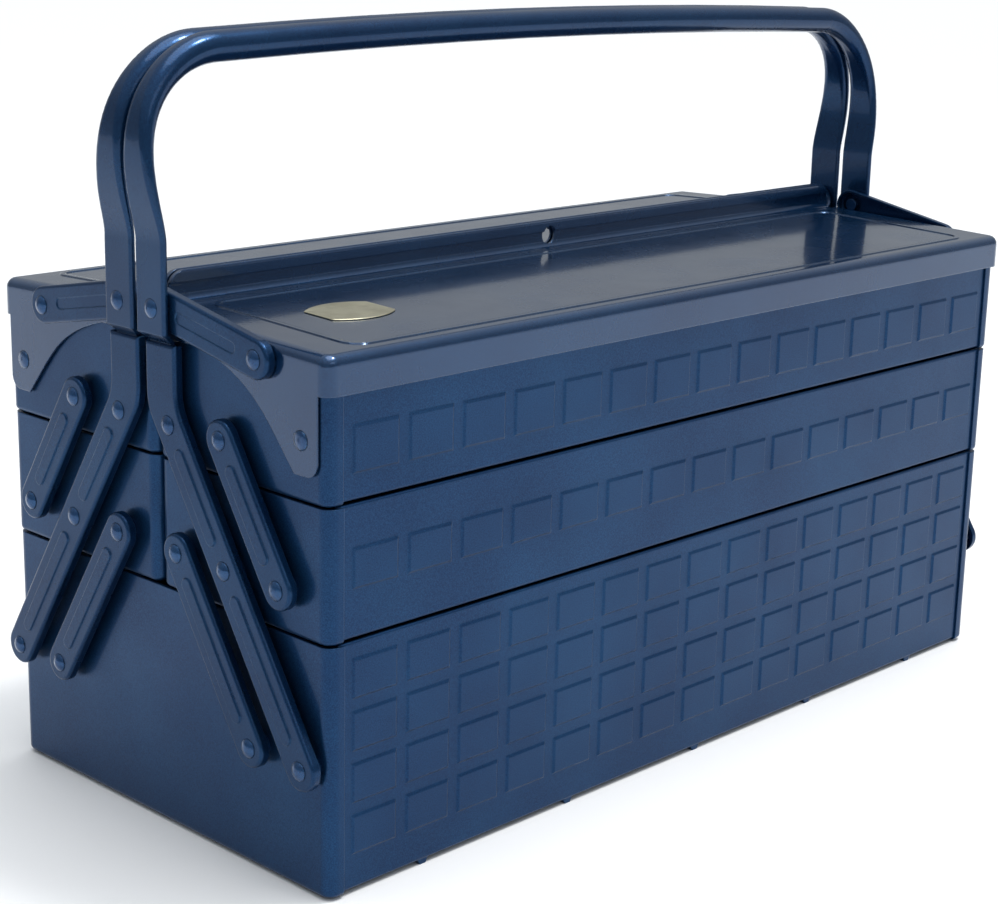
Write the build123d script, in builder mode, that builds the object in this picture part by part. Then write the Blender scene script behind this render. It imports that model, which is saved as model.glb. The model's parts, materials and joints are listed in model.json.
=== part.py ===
from build123d import *
import os
from math import asin, atan2, cos, degrees, hypot, radians, sin

os.makedirs("parts", exist_ok=True)

# All lengths in millimetres. X runs along the box, Y across it, Z up from the ground.
# The front half lies at negative Y. Pieces are drawn for the front half and the right
# end, then mirrored. "Reach" is the distance from the box's middle plane, Y = 0.

# Sheet and overall sizes
SHEET = 1.0
LID_LENGTH = 472.0
LID_REACH = 110.0
TRAY_REACH = 108.4
TRAY_INNER_REACH = 0.9
BOTTOM_HALF_LENGTH = 233.4
MID_HALF_LENGTH = 233.9
UPPER_HALF_LENGTH = 234.4

# Heights
BEAD_DEPTH = 2.0
BOTTOM_LOW = 1.0
BOTTOM_TOP = 108.5
MID_LOW = 109.1
MID_TOP = 165.1
UPPER_LOW = 165.7
UPPER_TOP = 221.5

# Tray sheet details
CAP_DEPTH = 8.2
CAP_CORNER = 5.4
CAP_FOOT_RADIUS = 2.5
CAP_LAP = 2.4
HEM_THICKNESS = 2.4
HEM_HEIGHT = 4.6
HEM_ROUND = 1.1
RIM_LIFT = 0.45
BEAD_WIDTH = 6.4
BEAD_FLAT = 3.2
BEAD_ROOT = 0.9
BEAD_END_GAP = 0.5
BEAD_PITCH = 90.0
BEAD_COUNT = 5

# Pressed pads on the long faces
PAD_WIDTH = 24.6
PAD_PITCH = 29.8
PAD_COLUMNS = 15
PAD_RISE = 0.9
PAD_TAPER = 50.0
UPPER_PAD_LOW = 177.6
UPPER_PAD_HEIGHT = 19.8
MID_PAD_LOW = 130.6
MID_PAD_HEIGHT = 17.2
BOTTOM_PAD_LOW = 17.4
BOTTOM_PAD_HEIGHT = 17.4
BOTTOM_PAD_STEP = 22.4
BOTTOM_PAD_ROWS = 4

# Linkage pivots as (reach, height)
ARM_LOW = (98.6, 57.0)
ARM_MID = (52.0, 129.0)
ARM_HIGH = (17.0, 183.0)
INNER_LOW = (67.0, 57.0)
INNER_HIGH = (20.4, 129.0)
OUTER_LOW = (85.0, 129.0)
OUTER_HIGH = (50.0, 183.0)
LID_PIVOT = (94.5, 191.0)
LINK_AT_LID = (72.0, 219.5)
LINK_AT_LEG = (11.5, 231.0)

# Arms and links: pressed channels, open towards the box
ARM_SHEET = 1.2
ARM_INNER_X = 237.0
ARM_OUTER_X = 241.0
ARM_RADIUS = 8.8
LINK_RADIUS = 8.5
ARM_EDGE_ROUND = 1.5
ARM_TOP = 216.5
ARM_TOP_REACH = (2.5, 22.1)
ARM_BEND_RADIUS = 22.0
RIB_RADIUS = 3.2
RIB_RISE = 0.7
RIB_TAPER = 35.0
RIB_INSET = 14.0
LID_LINK_INNER_X = 236.5
LID_LINK_OUTER_X = 240.7
LID_LINK_RADIUS = 8.2
GROOVE_DEPTH = 0.4
GROOVE_RADIUS = 2.4

# Rivets
SHANK_RADIUS = 2.5
RUNNING_RADIUS = 2.56
SEAT_RADIUS = 2.5
HEAD_RADIUS = 4.2
HEAD_HEIGHT = 1.8
TAIL_RADIUS = 3.3
TAIL_HEIGHT = 1.2
FLUSH_TAIL_HEIGHT = 0.4
SPACER_RADIUS = 5.0
AXIAL_GAP = 0.1
OPEN_PIVOT_RADIUS = 5.9
LID_HEAD_HEIGHT = 0.8

# Handle halves: round tube, flattened into legs
TUBE_RADIUS = 6.5
TUBE_FLAT = 0.04
TUBE_REACH = 6.7
BAR_SLOPE = 2.2
BEND_RADIUS = 42.0
LEG_TOP_X = 246.7
LEG_TOP_Z = 291.37
LEG_INNER_X = 241.2
LEG_OUTER_X = 244.2
LEG_FLAT_REACH = (1.3, 20.0)
LEG_FLAT_LOW = 220.6
LEG_FLAT_HIGH = 256.0
LEG_STEP = 3.0
# Where the flat starts to open out: outward shift, reach, height, width, thickness
LEG_SWELL = (2.6, 10.2, 274.0, 18.2, 4.2)
# Foot of the bend: reach, width, thickness
LEG_TOP_SHAPE = (9.2, 16.2, 5.8)
# Through the bend, until the tube is round again: turn in degrees, reach, width, thickness
BEND_SHAPES = [
    (25.0, 8.0, 14.2, 8.5),
    (50.0, 7.1, 13.2, 11.0),
    (70.0, 6.8, 13.0, 12.5),
    (82.0, 6.7, 13.0, 13.0),
]
TONGUE_INNER_X = 237.3
TONGUE_OUTER_X = 239.7
TONGUE_REACH = (4.6, 18.4)
TONGUE_TOP = 216.8
TONGUE_SHOULDER = 206.0
TONGUE_RADIUS = 5.0

# Lid
LID_SKIRT_LOW = 210.0
LID_OUTER_Z = 226.0
LID_INNER_Z = 229.6
LID_CORNER = 5.5
LID_EDGE = 4.5
LID_INNER_REACH = 6.0
EAR_REACH = 104.0
EAR_LOW = 177.0
EAR_CORNER = 6.0
ARCH_POINTS = [(90.5, 177.0), (78.0, 191.4), (65.7, 203.2), (54.0, 210.3), (42.8, 214.7), (34.0, 217.3)]
BORDER_HALF_LENGTH = 215.0
BORDER_REACH = (9.5, 101.5)
BORDER_WIDTH = 2.4
BORDER_RISE = 0.4
BORDER_CORNER = 9.0

# Lid rail: the upright strip along the lid's inner edge
RAIL_HALF_LENGTH = 228.0
RAIL_REACH = 0.75
RAIL_TOP = 243.0
RAIL_FOOT_REACH = 13.0
RAIL_FOOT_GAP = 0.05
RAIL_HEM_LOW = 237.8
RAIL_HEM_THICKNESS = 2.0
RAIL_BEND = 3.4
RAIL_CORNER = 8.0
LOCK_HOLE_RADIUS = 4.4
LOCK_HOLE_Z = 236.0

# Name badge
BADGE_X = -175.7
BADGE_REACH = 54.9
BADGE_LENGTH = 34.6
BADGE_WIDTH = 17.9
BADGE_LONG_BOW = 5.8
BADGE_CORNER = 0.8
BADGE_RISE = 0.6
BADGE_EDGE = 0.25

END = Plane.YZ
MIDDLE = Plane.XZ
# How far the middle of a rounded corner lies in from the square corner, for a radius of 1
ARC_MIDDLE = 1 - sin(radians(45.0))
# Edges closer than this to a plane count as lying in it
PICK_GAP = 0.1
FACE_MATCH = 0.01
# Flat left on the crest of a rail's hem, whose two rounds would otherwise just meet
HEM_CREST = 0.1


def save(shape, name):
    shape.label = name
    export_step(shape, "parts/" + name + ".step")


def save_ends(shape, name):
    save(shape, name + "_right")
    save(mirror(shape, about=END), name + "_left")


def save_halves(shape, name):
    save(shape, name + "_front")
    save(mirror(shape, about=MIDDLE), name + "_back")


def save_quarters(shape, name):
    save_ends(shape, name + "_front")
    save_ends(mirror(shape, about=MIDDLE), name + "_back")


def front_point(point):
    return (-point[0], point[1])


def front_points(points):
    return [front_point(point) for point in points]


def lid_top(reach):
    share = (LID_REACH - reach) / (LID_REACH - LID_INNER_REACH)
    return LID_OUTER_Z + share * (LID_INNER_Z - LID_OUTER_Z)


# Tray sheets: floor, long walls and hems, open at both ends


def tray_profile(inner_y, outer_y, low, top):
    """Closed outline of the folded sheet across the box, hems included."""
    with BuildSketch(END) as profile:
        with BuildLine():
            Polyline((inner_y, top), (inner_y, low), (outer_y, low), (outer_y, top), close=True)
        make_face()
        floor_corners = profile.vertices().group_by(Axis.Y)[0]
        fillet(floor_corners, CAP_FOOT_RADIUS - SHEET)
        with BuildLine():
            Polyline(
                (inner_y + SHEET, top + SHEET),
                (inner_y + SHEET, low + SHEET),
                (outer_y - SHEET, low + SHEET),
                (outer_y - SHEET, top + SHEET),
                close=True,
            )
        make_face(mode=Mode.SUBTRACT)
        for edge_y, inward in ((inner_y, 1), (outer_y, -1)):
            with Locations((edge_y + inward * HEM_THICKNESS / 2, top - HEM_HEIGHT / 2)):
                Rectangle(HEM_THICKNESS, HEM_HEIGHT)
        fillet(profile.vertices().group_by(Axis.Y)[-1], HEM_ROUND)
    return profile.sketch_local


def pad_rows(lows, height, face_plane):
    """Rows of pressed pads on one long face."""
    first = -PAD_PITCH * (PAD_COLUMNS - 1) / 2
    spots = [
        (first + column * PAD_PITCH, low + height / 2)
        for column in range(PAD_COLUMNS)
        for low in lows
    ]
    with BuildPart(mode=Mode.PRIVATE) as pads:
        with BuildSketch(face_plane):
            with Locations(*spots):
                Rectangle(PAD_WIDTH, height)
        extrude(amount=PAD_RISE, taper=PAD_TAPER)
    return pads.part


def floor_beads():
    """Cross ribs under the floor; their flats are what the box stands on."""
    run = TRAY_REACH - SHEET - BEAD_END_GAP
    root = BEAD_DEPTH + BEAD_ROOT
    with BuildPart(mode=Mode.PRIVATE) as beads:
        with BuildSketch(Plane.XZ.offset(-run)):
            for index in range(BEAD_COUNT):
                x = (index - (BEAD_COUNT - 1) / 2) * BEAD_PITCH
                with BuildLine():
                    Polyline(
                        (x - BEAD_WIDTH / 2, root),
                        (x - BEAD_FLAT / 2, 0),
                        (x + BEAD_FLAT / 2, 0),
                        (x + BEAD_WIDTH / 2, root),
                        close=True,
                    )
                make_face()
        extrude(amount=2 * run)
    return beads.part


def face_plane_front():
    return Plane(origin=(0, -(TRAY_REACH - SHEET), 0), x_dir=(1, 0, 0), z_dir=(0, -1, 0))


def face_plane_back():
    return Plane(origin=(0, TRAY_REACH - SHEET, 0), x_dir=(-1, 0, 0), z_dir=(0, 1, 0))


def tray_sheet(inner_y, outer_y, low, top, half_length, details):
    run = half_length - CAP_DEPTH + CAP_LAP
    with BuildPart() as sheet:
        with BuildSketch(END.offset(-run)):
            add(tray_profile(inner_y, outer_y, low + SHEET, top))
        extrude(amount=2 * run)
        for detail in details:
            add(detail)
    return sheet


# Tray end caps: dished plates lapped over the sheet, with a hemmed top edge


def end_block(inner_y, outer_y, low, top, x_from, x_to, corner, foot):
    """Block rounded at its two upright end corners and along its floor edge."""
    with BuildPart(mode=Mode.PRIVATE) as block:
        with BuildSketch(Plane.XY.offset(low)):
            with BuildLine():
                Polyline(
                    (x_from, inner_y), (x_to, inner_y), (x_to, outer_y), (x_from, outer_y), close=True
                )
            make_face()
        extrude(amount=top - low)
        upright = block.edges().filter_by(Axis.Z).group_by(Axis.X)[-1]
        fillet(upright, corner)
        floor = block.edges().group_by(Axis.Z)[0]
        outline = [edge for edge in floor if edge.center().X > x_from + PICK_GAP]
        fillet(outline, foot)
    return block.part


def tray_end(inner_y, outer_y, low, top, half_length, holes):
    start = half_length - CAP_DEPTH
    hem_start = half_length - CAP_DEPTH + CAP_LAP + AXIAL_GAP
    with BuildPart() as cap:
        add(end_block(inner_y, outer_y, low, top, start, half_length, CAP_CORNER, CAP_FOOT_RADIUS))
        add(
            end_block(
                inner_y + SHEET,
                outer_y - SHEET,
                low + SHEET,
                top + SHEET,
                start - SHEET,
                half_length - SHEET,
                CAP_CORNER - SHEET,
                CAP_FOOT_RADIUS - SHEET,
            ),
            mode=Mode.SUBTRACT,
        )
        add(tray_end_hem(inner_y, outer_y, top, hem_start, half_length))
        with BuildSketch(END.offset(half_length + SHEET)):
            with Locations(*holes):
                Circle(SEAT_RADIUS)
        extrude(amount=-3 * SHEET, mode=Mode.SUBTRACT)
    return cap


def tray_end_hem(inner_y, outer_y, top, x_from, x_to):
    low = top - HEM_HEIGHT
    with BuildPart(mode=Mode.PRIVATE) as hem:
        with BuildSketch(Plane.XY.offset(low)):
            with BuildLine():
                Polyline(
                    (x_from, inner_y), (x_to, inner_y), (x_to, outer_y), (x_from, outer_y), close=True
                )
            make_face()
        extrude(amount=HEM_HEIGHT)
        fillet(hem.edges().filter_by(Axis.Z).group_by(Axis.X)[-1], CAP_CORNER)
        with BuildSketch(Plane.XY.offset(low)):
            with BuildLine():
                Polyline(
                    (x_from - SHEET, inner_y + HEM_THICKNESS),
                    (x_to - HEM_THICKNESS, inner_y + HEM_THICKNESS),
                    (x_to - HEM_THICKNESS, outer_y - HEM_THICKNESS),
                    (x_from - SHEET, outer_y - HEM_THICKNESS),
                    close=True,
                )
            corners = make_face()
            fillet(corners.vertices().group_by(Axis.X)[-1], CAP_CORNER - HEM_THICKNESS)
        extrude(amount=HEM_HEIGHT, mode=Mode.SUBTRACT)
        rim = hem.edges().group_by(Axis.Z)[-1]
        rounded = [edge for edge in rim if edge.center().X > x_from + PICK_GAP]
        fillet(rounded, HEM_ROUND)
    return hem.part


# Rivets and spacers, all on axes along X at the right end


def drilling(holes):
    """Round cutters through the whole box at each (point, radius)."""
    with BuildPart(mode=Mode.PRIVATE) as cutters:
        with BuildSketch(END.offset(-LID_LENGTH)):
            for point, radius in holes:
                with Locations(front_point(point)):
                    Circle(radius)
        extrude(amount=2 * LID_LENGTH)
    return cutters.part


def rivet(point, tail_x, seat_x, head_x, head_radius=HEAD_RADIUS, head_height=HEAD_HEIGHT):
    """Closed rivet: tail disc up to seat_x, shank, domed head from head_x outwards."""
    ball = (head_radius**2 + head_height**2) / (2 * head_height)
    half_angle = asin(head_radius / ball) / 2
    centre = head_x + head_height - ball
    shoulder = (centre + ball * cos(half_angle), ball * sin(half_angle))
    y, z = front_point(point)
    with BuildPart(mode=Mode.PRIVATE) as body:
        with BuildSketch(Plane(origin=(0, y, z), x_dir=(1, 0, 0), z_dir=(0, 1, 0))):
            with BuildLine():
                Polyline(
                    (head_x + head_height, 0),
                    (tail_x, 0),
                    (tail_x, TAIL_RADIUS),
                    (seat_x, TAIL_RADIUS),
                    (seat_x, SHANK_RADIUS),
                    (head_x, SHANK_RADIUS),
                    (head_x, head_radius),
                )
                ThreePointArc((head_x, head_radius), shoulder, (head_x + head_height, 0))
            make_face()
        revolve(axis=Axis((0, y, z), (1, 0, 0)))
    return body.part


def spacer(point, x_from, x_to, radius=SPACER_RADIUS):
    with BuildPart(mode=Mode.PRIVATE) as ring:
        with BuildSketch(END.offset(x_from)):
            with Locations(front_point(point)):
                Circle(radius)
                Circle(SEAT_RADIUS, mode=Mode.SUBTRACT)
        extrude(amount=x_to - x_from)
    return ring.part


def both_ends(pieces, both_halves=False):
    with BuildPart() as group:
        for piece in pieces:
            add(piece)
        mirror(about=END)
        if both_halves:
            mirror(about=MIDDLE)
    return group


def tray_rivet(point, half_length):
    seat = half_length - SHEET
    return rivet(point, seat - TAIL_HEIGHT, seat, ARM_OUTER_X + AXIAL_GAP)


def arm_spacer(point, half_length):
    return spacer(point, half_length, ARM_OUTER_X - ARM_SHEET - AXIAL_GAP)


# Channel arms and links at the right end


def slot_sketch(start, end, radius, inset=0.0):
    """Round-ended bar between two pivots, in the box's cross plane."""
    y0, z0 = front_point(start)
    y1, z1 = front_point(end)
    span = hypot(y1 - y0, z1 - z0) - 2 * inset
    with Locations(((y0 + y1) / 2, (z0 + z1) / 2)):
        SlotCenterToCenter(span, 2 * radius, rotation=degrees(atan2(z1 - z0, y1 - y0)))


def outer_face_edges(part, x):
    return part.edges().filter_by(lambda edge: abs(edge.bounding_box().min.X - x) < FACE_MATCH)


def channel_link(start, end, radius, x_from, x_to, holes, ribbed=True):
    with BuildPart() as link:
        with BuildSketch(END.offset(x_from)):
            slot_sketch(start, end, radius)
        extrude(amount=x_to - x_from)
        fillet(outer_face_edges(link, x_to), ARM_EDGE_ROUND)
        with BuildSketch(END.offset(x_from)):
            slot_sketch(start, end, radius - ARM_SHEET)
        extrude(amount=x_to - x_from - ARM_SHEET, mode=Mode.SUBTRACT)
        if ribbed:
            with BuildSketch(END.offset(x_to)):
                slot_sketch(start, end, RIB_RADIUS, RIB_INSET)
            extrude(amount=RIB_RISE, taper=RIB_TAPER)
        else:
            with BuildSketch(END.offset(x_to)):
                slot_sketch(start, end, GROOVE_RADIUS, RIB_INSET)
            extrude(amount=-GROOVE_DEPTH, mode=Mode.SUBTRACT)
        add(drilling(holes), mode=Mode.SUBTRACT)
    return link


def long_arm_outline(margin, top):
    """Slanted bar that turns upright above its top pivot; margin shrinks it evenly."""
    lean = atan2(ARM_LOW[0] - ARM_HIGH[0], ARM_HIGH[1] - ARM_LOW[1])
    half = ARM_RADIUS - margin
    side = (half * cos(lean), half * sin(lean))
    outer_foot = (ARM_LOW[0] + side[0], ARM_LOW[1] + side[1])
    inner_foot = (ARM_LOW[0] - side[0], ARM_LOW[1] - side[1])
    near = ARM_TOP_REACH[0] + margin
    far = ARM_TOP_REACH[1] - margin
    climb = cos(lean) / sin(lean)
    outer_turn = (far, outer_foot[1] + (outer_foot[0] - far) * climb)
    inner_turn = (near, inner_foot[1] + (inner_foot[0] - near) * climb)
    with BuildSketch(END, mode=Mode.PRIVATE) as outline:
        with BuildLine():
            Polyline(
                *front_points([inner_foot, outer_foot, outer_turn, (far, top), (near, top), inner_turn]),
                close=True,
            )
        make_face()
        by_height = outline.vertices().sort_by(Axis.Y)
        fillet(by_height[2:4], ARM_BEND_RADIUS)
        with Locations(front_point(ARM_LOW)):
            Circle(half)
    return outline.sketch_local


def long_arm():
    with BuildPart() as arm:
        with BuildSketch(END.offset(ARM_INNER_X)):
            add(long_arm_outline(0.0, ARM_TOP))
        extrude(amount=ARM_OUTER_X - ARM_INNER_X)
        fillet(outer_face_edges(arm, ARM_OUTER_X), ARM_EDGE_ROUND)
        with BuildSketch(END.offset(ARM_INNER_X)):
            add(long_arm_outline(ARM_SHEET, ARM_TOP + ARM_SHEET))
        extrude(amount=ARM_OUTER_X - ARM_INNER_X - ARM_SHEET, mode=Mode.SUBTRACT)
        with BuildSketch(END.offset(ARM_OUTER_X)):
            slot_sketch(ARM_LOW, ARM_MID, RIB_RADIUS, RIB_INSET)
            slot_sketch(ARM_MID, ARM_HIGH, RIB_RADIUS, RIB_INSET)
        extrude(amount=RIB_RISE, taper=RIB_TAPER)
        pivots = (ARM_LOW, ARM_MID, ARM_HIGH)
        add(drilling([(pivot, RUNNING_RADIUS) for pivot in pivots]), mode=Mode.SUBTRACT)
    return arm


# Handle halves: one round bar with a flattened leg at each end


def leg_sections():
    """Centre X, reach and Z, turn in degrees, width and thickness of each section, bottom to top."""
    mid_x = (LEG_INNER_X + LEG_OUTER_X) / 2
    flat_reach = sum(LEG_FLAT_REACH) / 2
    flat_width = LEG_FLAT_REACH[1] - LEG_FLAT_REACH[0]
    flat_thickness = LEG_OUTER_X - LEG_INNER_X
    swell_x, swell_reach, swell_z, swell_width, swell_thickness = LEG_SWELL
    top_reach, top_width, top_thickness = LEG_TOP_SHAPE
    sections = [
        (mid_x, flat_reach, LEG_FLAT_HIGH, 0.0, flat_width, flat_thickness),
        (mid_x, flat_reach, LEG_FLAT_HIGH + LEG_STEP, 0.0, flat_width, flat_thickness),
        (mid_x + swell_x, swell_reach, swell_z, 0.0, swell_width, swell_thickness),
        (LEG_TOP_X, top_reach, LEG_TOP_Z, 0.0, top_width, top_thickness),
    ]
    bar_end = (90.0 - BAR_SLOPE, TUBE_REACH, 2 * TUBE_RADIUS, 2 * TUBE_RADIUS)
    for turn, reach, width, thickness in [*BEND_SHAPES, bar_end]:
        angle = radians(turn)
        x = LEG_TOP_X - BEND_RADIUS + BEND_RADIUS * cos(angle)
        z = LEG_TOP_Z + BEND_RADIUS * sin(angle)
        sections.append((x, reach, z, turn, width, thickness))
    return sections


def leg_tube():
    with BuildPart(mode=Mode.PRIVATE) as leg:
        for x, reach, z, turn, width, thickness in leg_sections():
            angle = radians(turn)
            along = (-sin(angle), 0, cos(angle))
            with BuildSketch(Plane(origin=(x, -reach, z), x_dir=(0, 1, 0), z_dir=along)):
                RectangleRounded(width, thickness, (thickness - TUBE_FLAT) / 2)
        loft()
        with BuildSketch(Plane.XY.offset(LEG_FLAT_LOW)):
            with Locations(((LEG_INNER_X + LEG_OUTER_X) / 2, -sum(LEG_FLAT_REACH) / 2)):
                RectangleRounded(
                    LEG_OUTER_X - LEG_INNER_X,
                    LEG_FLAT_REACH[1] - LEG_FLAT_REACH[0],
                    (LEG_OUTER_X - LEG_INNER_X - TUBE_FLAT) / 2,
                )
        extrude(amount=LEG_FLAT_HIGH - LEG_FLAT_LOW)
    return leg.part


def leg_tongue():
    """Thin end of the leg: cranked in behind the arm's face and carried on its top pivot."""
    near, far = TONGUE_REACH
    with BuildPart(mode=Mode.PRIVATE) as tongue:
        with BuildSketch(END.offset(TONGUE_INNER_X)):
            with Locations(front_point(ARM_HIGH)):
                Circle(TONGUE_RADIUS)
            with BuildLine():
                Polyline(
                    *front_points([(near, TONGUE_SHOULDER), (far, TONGUE_SHOULDER), ARM_HIGH]),
                    close=True,
                )
            make_face()
            make_hull()
            with BuildLine():
                Polyline(
                    *front_points(
                        [
                            (near, TONGUE_SHOULDER),
                            (far, TONGUE_SHOULDER),
                            (far, TONGUE_TOP),
                            (near, TONGUE_TOP),
                        ]
                    ),
                    close=True,
                )
            make_face()
        extrude(amount=TONGUE_OUTER_X - TONGUE_INNER_X)
        crank_low = Plane.XY.offset(TONGUE_TOP)
        crank_high = Plane.XY.offset(LEG_FLAT_LOW)
        with BuildSketch(crank_low):
            with Locations(((TONGUE_INNER_X + TONGUE_OUTER_X) / 2, -(near + far) / 2)):
                Rectangle(TONGUE_OUTER_X - TONGUE_INNER_X, far - near)
        with BuildSketch(crank_high):
            with Locations(((LEG_INNER_X + LEG_OUTER_X) / 2, -sum(LEG_FLAT_REACH) / 2)):
                Rectangle(LEG_OUTER_X - LEG_INNER_X, LEG_FLAT_REACH[1] - LEG_FLAT_REACH[0])
        loft()
    return tongue.part


def handle():
    slope = radians(BAR_SLOPE)
    end_x = LEG_TOP_X - BEND_RADIUS + BEND_RADIUS * sin(slope)
    end_z = LEG_TOP_Z + BEND_RADIUS * cos(slope)
    mid_z = end_z + end_x * sin(slope / 2) / cos(slope / 2)
    with BuildPart() as half:
        with BuildLine():
            bar = ThreePointArc(
                (end_x, -TUBE_REACH, end_z), (0, -TUBE_REACH, mid_z), (-end_x, -TUBE_REACH, end_z)
            )
        with BuildSketch(Plane(origin=bar @ 0, x_dir=(0, 1, 0), z_dir=bar % 0)):
            RectangleRounded(2 * TUBE_RADIUS, 2 * TUBE_RADIUS, TUBE_RADIUS - TUBE_FLAT / 2)
        sweep()
        add(leg_tube())
        add(leg_tongue())
        mirror(about=END)
        holes = [(ARM_HIGH, RUNNING_RADIUS), (LINK_AT_LEG, SEAT_RADIUS)]
        add(drilling(holes), mode=Mode.SUBTRACT)
    return half


# Lid: dished plate with a front skirt and deep ears at both ends


def lid_block(margin, inner_reach):
    """Lid envelope with rounded corners and top edge, shrunk by margin."""
    reach = LID_REACH - margin
    half = LID_LENGTH / 2 - margin
    low = EAR_LOW - SHEET - margin
    with BuildPart(mode=Mode.PRIVATE) as block:
        with BuildSketch(END.offset(-half)):
            with BuildLine():
                Polyline(
                    (-reach, low),
                    (-reach, lid_top(LID_REACH) - margin),
                    (-inner_reach, lid_top(inner_reach) - margin),
                    (-inner_reach, low),
                    close=True,
                )
            make_face()
        extrude(amount=2 * half)
        upright = block.edges().filter_by(Axis.Z).group_by(Axis.Y)[0]
        fillet(upright, LID_CORNER - margin)
        top = [
            edge
            for edge in block.edges()
            if edge.bounding_box().min.Z > LID_OUTER_Z - 2 * SHEET and edge.center().Y < -inner_reach - SHEET
        ]
        fillet(top, LID_EDGE - margin)
    return block.part


def lid_cut():
    """Everything below the skirt's edge, the ears' outline and the arch between them."""
    floor = EAR_LOW - EAR_CORNER
    with BuildPart(mode=Mode.PRIVATE) as cut:
        with BuildSketch(END.offset(-LID_LENGTH)):
            with BuildLine():
                Polyline(
                    (0, floor),
                    (-LID_REACH - SHEET, floor),
                    (-LID_REACH - SHEET, LID_SKIRT_LOW),
                    (-EAR_REACH, LID_SKIRT_LOW),
                    (-EAR_REACH, EAR_LOW + EAR_CORNER),
                )
                ThreePointArc(
                    (-EAR_REACH, EAR_LOW + EAR_CORNER),
                    (-EAR_REACH + EAR_CORNER * ARC_MIDDLE, EAR_LOW + EAR_CORNER * ARC_MIDDLE),
                    (-EAR_REACH + EAR_CORNER, EAR_LOW),
                )
                Line((-EAR_REACH + EAR_CORNER, EAR_LOW), front_point(ARCH_POINTS[0]))
                Spline(*front_points(ARCH_POINTS))
                Polyline(front_point(ARCH_POINTS[-1]), (0, ARCH_POINTS[-1][1]), (0, floor))
            make_face()
        extrude(amount=2 * LID_LENGTH)
    return cut.part


def lid_border():
    slope = atan2(LID_INNER_Z - LID_OUTER_Z, LID_REACH - LID_INNER_REACH)
    reach = sum(BORDER_REACH) / 2
    width = (BORDER_REACH[1] - BORDER_REACH[0]) / cos(slope)
    plate = Plane(origin=(0, -reach, lid_top(reach)), x_dir=(1, 0, 0), z_dir=(0, -sin(slope), cos(slope)))
    with BuildPart(mode=Mode.PRIVATE) as border:
        with BuildSketch(plate):
            RectangleRounded(2 * BORDER_HALF_LENGTH, width, BORDER_CORNER)
            RectangleRounded(
                2 * (BORDER_HALF_LENGTH - BORDER_WIDTH),
                width - 2 * BORDER_WIDTH,
                BORDER_CORNER - BORDER_WIDTH,
                mode=Mode.SUBTRACT,
            )
        extrude(amount=BORDER_RISE)
    return border.part


def lid():
    with BuildPart() as plate:
        add(lid_block(0.0, LID_INNER_REACH))
        add(lid_block(SHEET, LID_INNER_REACH - SHEET), mode=Mode.SUBTRACT)
        add(lid_cut(), mode=Mode.SUBTRACT)
        add(lid_border())
        holes = [(LID_PIVOT, RUNNING_RADIUS), (LINK_AT_LID, SEAT_RADIUS)]
        add(drilling(holes), mode=Mode.SUBTRACT)
    return plate


# Lid rail: folded strip standing up along the lid's inner edge


def lid_rail():
    inner = RAIL_REACH
    outer = RAIL_REACH + SHEET
    edge = LID_INNER_REACH
    foot = RAIL_FOOT_REACH
    with BuildPart() as rail:
        with BuildSketch(END.offset(-RAIL_HALF_LENGTH)) as profile:
            with BuildLine():
                Polyline(
                    *front_points(
                        [
                            (inner, lid_top(inner) - 2 * SHEET),
                            (inner, RAIL_TOP),
                            (outer, RAIL_TOP),
                            (outer, lid_top(outer)),
                            (edge, lid_top(edge)),
                            (edge, lid_top(edge) - SHEET - RAIL_FOOT_GAP),
                            (foot, lid_top(foot) - SHEET - RAIL_FOOT_GAP),
                            (foot, lid_top(foot) - 2 * SHEET),
                        ]
                    ),
                    close=True,
                )
            make_face()
            bend = profile.vertices().sort_by_distance((-outer, lid_top(outer)))[0]
            fillet(bend, RAIL_BEND)
            with Locations((-(inner + RAIL_HEM_THICKNESS / 2), (RAIL_HEM_LOW + RAIL_TOP) / 2)):
                Rectangle(RAIL_HEM_THICKNESS, RAIL_TOP - RAIL_HEM_LOW)
            fillet(profile.vertices().group_by(Axis.Y)[-1], (RAIL_HEM_THICKNESS - HEM_CREST) / 2)
        extrude(amount=2 * RAIL_HALF_LENGTH)
        for side in (-1, 1):
            with BuildSketch(Plane.XZ.offset(-SHEET)):
                with BuildLine():
                    corner = (side * RAIL_HALF_LENGTH, RAIL_TOP)
                    low = (side * RAIL_HALF_LENGTH, RAIL_TOP - RAIL_CORNER)
                    back = (side * (RAIL_HALF_LENGTH - RAIL_CORNER), RAIL_TOP)
                    turn = RAIL_CORNER * ARC_MIDDLE
                    middle = (side * (RAIL_HALF_LENGTH - turn), RAIL_TOP - turn)
                    Polyline(
                        low,
                        (low[0] + side * SHEET, low[1]),
                        (corner[0] + side * SHEET, RAIL_TOP + SHEET),
                        (back[0], RAIL_TOP + SHEET),
                        back,
                    )
                    ThreePointArc(back, middle, low)
                make_face()
            extrude(amount=RAIL_FOOT_REACH, mode=Mode.SUBTRACT)
        with BuildSketch(Plane.XZ):
            with Locations((0, LOCK_HOLE_Z)):
                Circle(LOCK_HOLE_RADIUS)
        extrude(amount=RAIL_FOOT_REACH, mode=Mode.SUBTRACT)
    return rail


# Blank badge on the front lid


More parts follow.
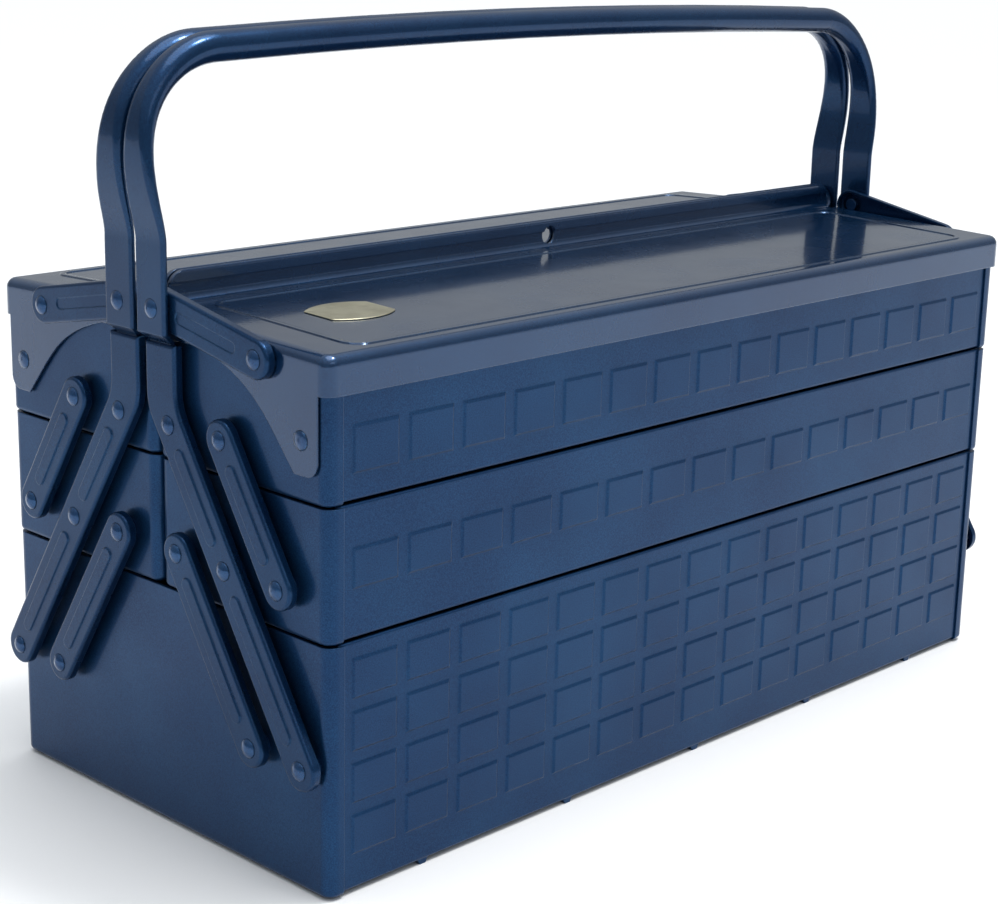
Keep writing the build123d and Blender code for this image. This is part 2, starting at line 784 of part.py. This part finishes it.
def badge():
    slope = atan2(LID_INNER_Z - LID_OUTER_Z, LID_REACH - LID_INNER_REACH)
    plate = Plane(
        origin=(BADGE_X, -BADGE_REACH, lid_top(BADGE_REACH)),
        x_dir=(1, 0, 0),
        z_dir=(0, -sin(slope), cos(slope)),
    )
    x = BADGE_LENGTH / 2
    y = BADGE_WIDTH / 2
    with BuildPart() as plaque:
        with BuildSketch(plate) as outline:
            with BuildLine():
                ThreePointArc((-x, -y), (0, -y - BADGE_LONG_BOW), (x, -y))
                Line((x, -y), (x, y))
                ThreePointArc((x, y), (0, y + BADGE_LONG_BOW), (-x, y))
                Line((-x, y), (-x, -y))
            make_face()
            fillet(outline.vertices(), BADGE_CORNER)
        extrude(amount=BADGE_RISE)
        chamfer(plaque.faces().sort_by(Axis.Z)[-1].edges(), BADGE_EDGE)
    return plaque


# Bottom tray

bottom_rows = [BOTTOM_PAD_LOW + row * BOTTOM_PAD_STEP for row in range(BOTTOM_PAD_ROWS)]
bottom_details = [
    floor_beads(),
    pad_rows(bottom_rows, BOTTOM_PAD_HEIGHT, face_plane_front()),
    pad_rows(bottom_rows, BOTTOM_PAD_HEIGHT, face_plane_back()),
]
bottom_sheet = tray_sheet(
    -(TRAY_REACH - SHEET),
    TRAY_REACH - SHEET,
    BOTTOM_LOW,
    BOTTOM_TOP + RIM_LIFT,
    BOTTOM_HALF_LENGTH,
    bottom_details,
)
save(bottom_sheet.part, "bottom_tray_sheet")

bottom_pivots = [ARM_LOW, INNER_LOW]
bottom_holes = front_points(bottom_pivots) + bottom_pivots
bottom_end = tray_end(
    -TRAY_REACH, TRAY_REACH, BOTTOM_LOW, BOTTOM_TOP, BOTTOM_HALF_LENGTH, bottom_holes
)
save_ends(bottom_end.part, "bottom_tray_end")

bottom_rivets = both_ends(
    [tray_rivet(point, BOTTOM_HALF_LENGTH) for point in bottom_pivots], both_halves=True
)
bottom_spacers = both_ends(
    [arm_spacer(point, BOTTOM_HALF_LENGTH) for point in bottom_pivots], both_halves=True
)
save(bottom_rivets.part, "bottom_tray_rivets")
save(bottom_spacers.part, "bottom_tray_spacers")

# Mid trays

mid_sheet = tray_sheet(
    -(TRAY_REACH - SHEET),
    -(TRAY_INNER_REACH + SHEET),
    MID_LOW,
    MID_TOP + RIM_LIFT,
    MID_HALF_LENGTH,
    [pad_rows([MID_PAD_LOW], MID_PAD_HEIGHT, face_plane_front())],
)
save_halves(mid_sheet.part, "mid_tray_sheet")

mid_pivots = [ARM_MID, INNER_HIGH, OUTER_LOW]
mid_end = tray_end(
    -TRAY_REACH, -TRAY_INNER_REACH, MID_LOW, MID_TOP, MID_HALF_LENGTH, front_points(mid_pivots)
)
save_quarters(mid_end.part, "mid_tray_end")

mid_rivets = both_ends([tray_rivet(point, MID_HALF_LENGTH) for point in mid_pivots])
mid_spacers = both_ends([arm_spacer(point, MID_HALF_LENGTH) for point in mid_pivots])
save_halves(mid_rivets.part, "mid_tray_rivets")
save_halves(mid_spacers.part, "mid_tray_spacers")

# Upper trays

upper_sheet = tray_sheet(
    -(TRAY_REACH - SHEET),
    -(TRAY_INNER_REACH + SHEET),
    UPPER_LOW,
    UPPER_TOP,
    UPPER_HALF_LENGTH,
    [pad_rows([UPPER_PAD_LOW], UPPER_PAD_HEIGHT, face_plane_front())],
)
save_halves(upper_sheet.part, "upper_tray_sheet")

upper_pivots = [ARM_HIGH, OUTER_HIGH, LID_PIVOT]
upper_end = tray_end(
    -TRAY_REACH, -TRAY_INNER_REACH, UPPER_LOW, UPPER_TOP, UPPER_HALF_LENGTH, front_points(upper_pivots)
)
save_quarters(upper_end.part, "upper_tray_end")

upper_seat = UPPER_HALF_LENGTH - SHEET
lid_half = LID_LENGTH / 2
upper_rivets = both_ends(
    [
        tray_rivet(ARM_HIGH, UPPER_HALF_LENGTH),
        tray_rivet(OUTER_HIGH, UPPER_HALF_LENGTH),
        rivet(
            LID_PIVOT,
            upper_seat - TAIL_HEIGHT,
            upper_seat,
            lid_half + AXIAL_GAP,
            head_height=LID_HEAD_HEIGHT,
        ),
    ]
)
upper_spacers = both_ends(
    [
        spacer(ARM_HIGH, UPPER_HALF_LENGTH, TONGUE_INNER_X - AXIAL_GAP),
        arm_spacer(OUTER_HIGH, UPPER_HALF_LENGTH),
        spacer(LID_PIVOT, UPPER_HALF_LENGTH, lid_half - SHEET - AXIAL_GAP),
    ]
)
save_halves(upper_rivets.part, "upper_tray_rivets")
save_halves(upper_spacers.part, "upper_tray_spacers")

# Arms and links

arm = long_arm()
save_quarters(arm.part, "long_arm")

inner_holes = [(INNER_LOW, RUNNING_RADIUS), (INNER_HIGH, RUNNING_RADIUS)]
inner_link = channel_link(INNER_LOW, INNER_HIGH, LINK_RADIUS, ARM_INNER_X, ARM_OUTER_X, inner_holes)
save_quarters(inner_link.part, "inner_link")

outer_holes = [(OUTER_LOW, RUNNING_RADIUS), (OUTER_HIGH, RUNNING_RADIUS)]
outer_link = channel_link(OUTER_LOW, OUTER_HIGH, LINK_RADIUS, ARM_INNER_X, ARM_OUTER_X, outer_holes)
save_quarters(outer_link.part, "outer_link")

lid_link_holes = [(LINK_AT_LID, RUNNING_RADIUS), (LINK_AT_LEG, OPEN_PIVOT_RADIUS)]
lid_link = channel_link(
    LINK_AT_LID,
    LINK_AT_LEG,
    LID_LINK_RADIUS,
    LID_LINK_INNER_X,
    LID_LINK_OUTER_X,
    lid_link_holes,
    ribbed=False,
)
save_quarters(lid_link.part, "lid_link")

# Handles

handle_half = handle()
save_halves(handle_half.part, "handle")

leg_tail = LID_LINK_OUTER_X - ARM_SHEET - AXIAL_GAP
leg_rivets = both_ends([rivet(LINK_AT_LEG, leg_tail - TAIL_HEIGHT, leg_tail, LEG_OUTER_X)])
save_halves(leg_rivets.part, "handle_rivets")

# Lids

lid_plate = lid()
save_halves(lid_plate.part, "lid")

rail = lid_rail()
save_halves(rail.part, "lid_rail")

lid_seat = lid_half - SHEET
lid_rivets = both_ends(
    [rivet(LINK_AT_LID, lid_seat - FLUSH_TAIL_HEIGHT, lid_seat, LID_LINK_OUTER_X + AXIAL_GAP)]
)
lid_spacers = both_ends(
    [spacer(LINK_AT_LID, lid_half, LID_LINK_OUTER_X - ARM_SHEET - AXIAL_GAP)]
)
save_halves(lid_rivets.part, "lid_rivets")
save_halves(lid_spacers.part, "lid_spacers")

plaque = badge()
save(plaque.part, "name_badge")
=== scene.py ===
import json
import math

import bpy
from mathutils import Euler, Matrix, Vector


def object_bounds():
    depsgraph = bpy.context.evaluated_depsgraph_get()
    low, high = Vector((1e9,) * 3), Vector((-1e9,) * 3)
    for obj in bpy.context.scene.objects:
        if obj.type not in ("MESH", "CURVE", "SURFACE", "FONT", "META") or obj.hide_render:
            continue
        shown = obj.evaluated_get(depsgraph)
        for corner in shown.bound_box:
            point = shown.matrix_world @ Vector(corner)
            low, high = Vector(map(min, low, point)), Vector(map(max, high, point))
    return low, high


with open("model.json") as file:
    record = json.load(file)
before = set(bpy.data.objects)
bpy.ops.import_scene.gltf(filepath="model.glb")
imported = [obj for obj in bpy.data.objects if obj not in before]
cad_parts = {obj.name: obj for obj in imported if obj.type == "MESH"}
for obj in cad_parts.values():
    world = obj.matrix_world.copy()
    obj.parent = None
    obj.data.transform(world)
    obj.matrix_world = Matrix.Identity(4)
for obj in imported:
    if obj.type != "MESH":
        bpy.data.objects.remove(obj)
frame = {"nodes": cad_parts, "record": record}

CAD_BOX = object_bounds()

# Camera: a long lens, above and to the front left of the box. Places are in metres, turns in degrees.
CAMERA_PLACE = Vector((-0.7417, -0.6913, 0.3945))
CAMERA_AZIMUTH = -45.864
CAMERA_ELEVATION = 14.837
CAMERA_ROLL = 1.27
CAMERA_LENS = 75.73
SENSOR_WIDTH = 36.0
VIEW_DEPTH = 200.0

# Studio: a wide pale floor under a broad soft sky light, a surround that brightens from the horizon
# upwards, and two soft panels. Panels are place, width, height in metres and power in watts.
FLOOR_HALF_WIDTH = 60.0
FLOOR_GREY = 0.88
FLOOR_ROUGHNESS = 0.9
SURROUND_COLOUR = (0.90, 0.95, 1.0)
HORIZON_STRENGTH = 0.36
ZENITH_STRENGTH = 1.0
GRADIENT_HEIGHTS = (0.30, 0.95)
SKY_STRENGTH = 1.6
SKY_SPREAD = 50.0
SKY_LEAN = (0.12, -0.12, 1.0)
PANEL_AIM = (0.0, 0.0, 0.15)
PANELS = {
    "light_glint": ((0.45, -0.55, 2.1), 0.30, 0.30, 16.0),
    "light_front": ((-0.4, -2.2, 1.6), 1.4, 0.6, 3.0),
}
WHITE_LIGHT = (1.0, 1.0, 1.0)

# Enamel: linear colours, one of them the lighter blue of a painted highlight along corners, and the sizes
# in metres of the marks in the paint and of that highlight's patches.
ENAMEL_DEEP = (0.004, 0.024, 0.082)
ENAMEL_LIGHT = (0.013, 0.064, 0.160)
# Paler blue laid along corners as a painted highlight.
ENAMEL_EDGE_HIGHLIGHT = (0.050, 0.135, 0.270)
BARE_STEEL = (0.42, 0.43, 0.44)
CLOUD_SIZE = 0.060
CLOUD_SHARE = 0.30
PEEL_SIZE = 0.0016
GRAIN_SIZE = 0.00055
WAVE_SIZE = 0.045
WAVE_DEPTH = 0.00030
PEEL_DEPTH = 0.000018
EDGE_RADIUS = 0.0007
EDGE_RANGE = (0.995, 0.80)
# Size in metres of the patches of the painted highlight along corners.
EDGE_HIGHLIGHT_PATCH_SIZE = 0.004
BARE_CHIP_SIZE = 0.0024

# Enamel: which part of each noise counts as its marks, from none to full
CLOUD_RANGE = (0.35, 0.68)
GRAIN_RANGE = (0.30, 0.72)
# Range and least amount of the patchy painted highlight along corners.
EDGE_HIGHLIGHT_RANGE = (0.30, 0.75)
LEAST_EDGE_HIGHLIGHT = 0.15
CHIP_RANGE = (0.72, 0.76)
GLOSS_SIZE = 0.024
GLOSS_RANGE = (0.3, 0.7)
GLOSS_SPREAD = (0.05, 0.07)

# Enamel: how it shines
ENAMEL_METAL = 0.70
ENAMEL_SPECULAR = 0.12
COAT_ROUGHNESS = 0.08
COAT_IOR = 1.45

# Badge
BRASS = (0.50, 0.47, 0.34)
BRASS_DARK = (0.33, 0.30, 0.20)
BRASS_METAL = 0.85
BRUSH_SIZE = 0.0012
BRUSH_STRETCH = (0.06, 1.0, 1.0)
BRUSH_DEPTH = 0.000010
BRUSH_RANGE = (0.2, 0.8)
BRUSH_ROUGHNESS = (0.26, 0.46)
STAIN_SIZE = 0.009
STAIN_RANGE = (0.42, 0.72)
MOST_STAIN = 0.75


class Graph:
    """Adds nodes to one material and joins them with as few words as possible."""

    def __init__(self, name):
        self.material = bpy.data.materials.new(name)
        self.material.use_nodes = True
        self.tree = self.material.node_tree
        self.tree.nodes.clear()
        self.place = self.node("ShaderNodeTexCoord").outputs["Object"]

    def node(self, kind, settings=None, **inputs):
        made = self.tree.nodes.new(kind)
        for key, value in (settings or {}).items():
            setattr(made, key, value)
        for key, value in inputs.items():
            self.feed(made.inputs[key.replace("_", " ")], value)
        return made

    def feed(self, socket, value):
        if isinstance(value, bpy.types.NodeSocket):
            self.tree.links.new(value, socket)
        elif socket.type == "RGBA":
            socket.default_value = (*value, 1.0)
        else:
            socket.default_value = value

    def noise(self, size, detail=2.0, stretch=None):
        """Noise from 0 to 1 whose marks are about size metres across."""
        place = self.place
        if stretch:
            place = self.node("ShaderNodeMapping", Vector=place, Scale=stretch).outputs["Vector"]
        made = self.node("ShaderNodeTexNoise", Vector=place, Scale=1.0 / size, Detail=detail)
        return made.outputs["Fac"]

    def ramp(self, value, low, high, to_low=0.0, to_high=1.0):
        """value taken from the range low..high to the range to_low..to_high, and held there."""
        made = self.node("ShaderNodeMapRange", Value=value, From_Min=low, From_Max=high,
                         To_Min=to_low, To_Max=to_high)
        return made.outputs["Result"]

    def product(self, first, second):
        made = self.node("ShaderNodeMath", {"operation": "MULTIPLY"})
        self.feed(made.inputs[0], first)
        self.feed(made.inputs[1], second)
        return made.outputs[0]

    def average(self, first, second, share):
        """share of first and the rest of second."""
        made = self.node("ShaderNodeMix", {"data_type": "FLOAT"}, Factor=share)
        self.feed(made.inputs[2], second)
        self.feed(made.inputs[3], first)
        return made.outputs[0]

    def blend(self, amount, first, second):
        """Colour that goes from first to second as amount goes from 0 to 1."""
        made = self.node("ShaderNodeMix", {"data_type": "RGBA"})
        self.feed(made.inputs["Factor"], amount)
        self.feed(made.inputs[6], first)
        self.feed(made.inputs[7], second)
        return made.outputs[2]

    def bump(self, height, depth, normal):
        made = self.node("ShaderNodeBump", Height=height, Distance=depth, Strength=1.0)
        self.feed(made.inputs["Normal"], normal)
        return made.outputs["Normal"]

    def rounded(self, radius):
        """Normal of the surface as if its corners were rounded to radius, and how near a corner is."""
        soft = self.node("ShaderNodeBevel", {"samples": 4}, Radius=radius).outputs["Normal"]
        flat = self.node("ShaderNodeNewGeometry").outputs["Normal"]
        made = self.node("ShaderNodeVectorMath", {"operation": "DOT_PRODUCT"})
        self.feed(made.inputs[0], soft)
        self.feed(made.inputs[1], flat)
        return soft, self.ramp(made.outputs["Value"], *EDGE_RANGE)

    def finish(self, **inputs):
        shader = self.node("ShaderNodeBsdfPrincipled", **inputs)
        output = self.node("ShaderNodeOutputMaterial")
        self.tree.links.new(shader.outputs["BSDF"], output.inputs["Surface"])
        return self.material


def enamel(name, painted_light_lift=1.0, edge_highlight_and_wear=0.5, wave=1.0, roughness=0.34, coat=0.8):
    """Deep blue stoved enamel: lift brightens it, or darkens it below 1, as painted light and shade; the
    edge amount lightens its corners with a patchy painted highlight and also bares steel chips there; wave
    ripples its gloss.
    """
    graph = Graph(name)
    normal, near_edge = graph.rounded(EDGE_RADIUS)
    clouds = graph.ramp(graph.noise(CLOUD_SIZE, detail=3.0), *CLOUD_RANGE)
    grain = graph.ramp(graph.noise(GRAIN_SIZE, detail=1.0), *GRAIN_RANGE)
    tone = graph.average(clouds, grain, CLOUD_SHARE)
    deep = tuple(channel * painted_light_lift for channel in ENAMEL_DEEP)
    light = tuple(channel * painted_light_lift for channel in ENAMEL_LIGHT)
    colour = graph.blend(tone, deep, light)
    # Painted highlight: corners are lightened towards a paler blue in patches, up to the edge amount,
    # which also sets the bare steel chips below.
    edge_highlight_amount = graph.ramp(graph.noise(EDGE_HIGHLIGHT_PATCH_SIZE, detail=4.0), *EDGE_HIGHLIGHT_RANGE, LEAST_EDGE_HIGHLIGHT, edge_highlight_and_wear)
    colour = graph.blend(graph.product(near_edge, edge_highlight_amount), colour, ENAMEL_EDGE_HIGHLIGHT)
    chips = graph.product(near_edge, graph.ramp(graph.noise(BARE_CHIP_SIZE, detail=5.0), *CHIP_RANGE))
    colour = graph.blend(graph.product(chips, edge_highlight_and_wear), colour, BARE_STEEL)
    smoothest = roughness - GLOSS_SPREAD[0]
    roughest = roughness + GLOSS_SPREAD[1]
    rough = graph.ramp(graph.noise(GLOSS_SIZE, detail=4.0), *GLOSS_RANGE, smoothest, roughest)
    normal = graph.bump(graph.noise(WAVE_SIZE, detail=1.0), WAVE_DEPTH * wave, normal)
    normal = graph.bump(graph.noise(PEEL_SIZE, detail=2.0), PEEL_DEPTH, normal)
    return graph.finish(
        Base_Color=colour,
        Roughness=rough,
        Metallic=ENAMEL_METAL,
        Normal=normal,
        Coat_Normal=normal,
        Specular_IOR_Level=ENAMEL_SPECULAR,
        Coat_Weight=coat,
        Coat_Roughness=COAT_ROUGHNESS,
        Coat_IOR=COAT_IOR,
    )


def brass(name):
    """Blank satin brass plate, brushed along its length and a little tarnished."""
    graph = Graph(name)
    normal, _ = graph.rounded(EDGE_RADIUS / 2)
    brushed = graph.noise(BRUSH_SIZE, detail=3.0, stretch=BRUSH_STRETCH)
    stain = graph.ramp(graph.noise(STAIN_SIZE, detail=4.0), *STAIN_RANGE, 0.0, MOST_STAIN)
    colour = graph.blend(stain, BRASS, BRASS_DARK)
    rough = graph.ramp(brushed, *BRUSH_RANGE, *BRUSH_ROUGHNESS)
    normal = graph.bump(brushed, BRUSH_DEPTH, normal)
    return graph.finish(Base_Color=colour, Roughness=rough, Metallic=BRASS_METAL, Normal=normal)


def floor():
    graph = Graph("studio_floor")
    material = graph.finish(Base_Color=(FLOOR_GREY,) * 3, Roughness=FLOOR_ROUGHNESS)
    low = CAD_BOX[0][2]
    turns = ((-1, -1), (1, -1), (1, 1), (-1, 1))
    corners = [(x * FLOOR_HALF_WIDTH, y * FLOOR_HALF_WIDTH, low) for x, y in turns]
    mesh = bpy.data.meshes.new("studio_floor")
    mesh.from_pydata(corners, [], [(0, 1, 2, 3)])
    plane = bpy.data.objects.new("studio_floor", mesh)
    plane.data.materials.append(material)
    bpy.context.scene.collection.objects.link(plane)


def panel(name, place, width, height, power):
    """Soft rectangular light at place, turned towards the box."""
    data = bpy.data.lights.new(name, "AREA")
    data.shape = "RECTANGLE"
    data.size = width
    data.size_y = height
    data.energy = power
    data.color = WHITE_LIGHT
    lamp = bpy.data.objects.new(name, data)
    lamp.location = place
    lamp.rotation_euler = (Vector(PANEL_AIM) - Vector(place)).to_track_quat("-Z", "Y").to_euler()
    bpy.context.scene.collection.objects.link(lamp)


def sky_light():
    """Broad soft light from far overhead."""
    data = bpy.data.lights.new("light_sky", "SUN")
    data.energy = SKY_STRENGTH
    data.angle = math.radians(SKY_SPREAD)
    data.color = WHITE_LIGHT
    lamp = bpy.data.objects.new("light_sky", data)
    lamp.rotation_euler = Vector(SKY_LEAN).to_track_quat("Z", "Y").to_euler()
    bpy.context.scene.collection.objects.link(lamp)


def studio():
    world = bpy.data.worlds.new("studio_surround")
    world.use_nodes = True
    tree = world.node_tree
    background = tree.nodes["Background"]
    background.inputs["Color"].default_value = (*SURROUND_COLOUR, 1.0)
    direction = tree.nodes.new("ShaderNodeSeparateXYZ")
    tree.links.new(tree.nodes.new("ShaderNodeTexCoord").outputs["Generated"], direction.inputs[0])
    gradient = tree.nodes.new("ShaderNodeMapRange")
    tree.links.new(direction.outputs["Z"], gradient.inputs["Value"])
    gradient.inputs["From Min"].default_value, gradient.inputs["From Max"].default_value = GRADIENT_HEIGHTS
    gradient.inputs["To Min"].default_value = HORIZON_STRENGTH
    gradient.inputs["To Max"].default_value = ZENITH_STRENGTH
    tree.links.new(gradient.outputs["Result"], background.inputs["Strength"])
    bpy.context.scene.world = world
    floor()
    sky_light()
    for name, (place, width, height, power) in PANELS.items():
        panel(name, place, width, height, power)


def camera():
    data = bpy.data.cameras.new("main_view")
    data.sensor_width = SENSOR_WIDTH
    data.lens = CAMERA_LENS
    data.clip_end = VIEW_DEPTH
    view = bpy.data.objects.new("main_view", data)
    turn = Euler((math.radians(90.0 - CAMERA_ELEVATION), 0.0, math.radians(CAMERA_AZIMUTH)), "XYZ")
    roll = Euler((0.0, 0.0, math.radians(CAMERA_ROLL)), "XYZ")
    view.rotation_mode = "QUATERNION"
    view.rotation_quaternion = turn.to_quaternion() @ roll.to_quaternion()
    view.location = CAMERA_PLACE
    bpy.context.scene.collection.objects.link(view)
    bpy.context.scene.camera = view


def paint_frame():
    """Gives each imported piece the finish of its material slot."""
    finishes = {
        # One blue enamel in lit and shaded copies: the lifts darken the arms and handle below the trays
        # and lid as painted shade, and brighten the rivets as a painted highlight.
        "tray_paint": enamel("tray_enamel", painted_light_lift=0.92, edge_highlight_and_wear=0.35, wave=0.7, coat=0.20),
        "lid_paint": enamel("lid_enamel", painted_light_lift=0.90, edge_highlight_and_wear=0.35, wave=0.4, coat=1.0, roughness=0.24),
        "arm_paint": enamel("arm_enamel", painted_light_lift=0.78, edge_highlight_and_wear=0.7, wave=0.15, coat=0.20, roughness=0.28),
        "handle_paint": enamel("handle_enamel", painted_light_lift=0.80, edge_highlight_and_wear=0.5, wave=0.1, coat=0.36, roughness=0.26),
        "rivet_paint": enamel("rivet_enamel", painted_light_lift=1.25, edge_highlight_and_wear=0.9, wave=0.1, coat=0.7, roughness=0.26),
        "badge_brass": brass("badge_brass"),
    }
    for part in frame["record"]["subparts"]:
        piece = frame["nodes"][part["node"]]
        for index in range(len(piece.material_slots)):
            piece.material_slots[index].link = "DATA"
            piece.data.materials[index] = finishes[part["material_slot"]]


paint_frame()
studio()
camera()
bpy.context.scene.view_settings.view_transform = "Standard"
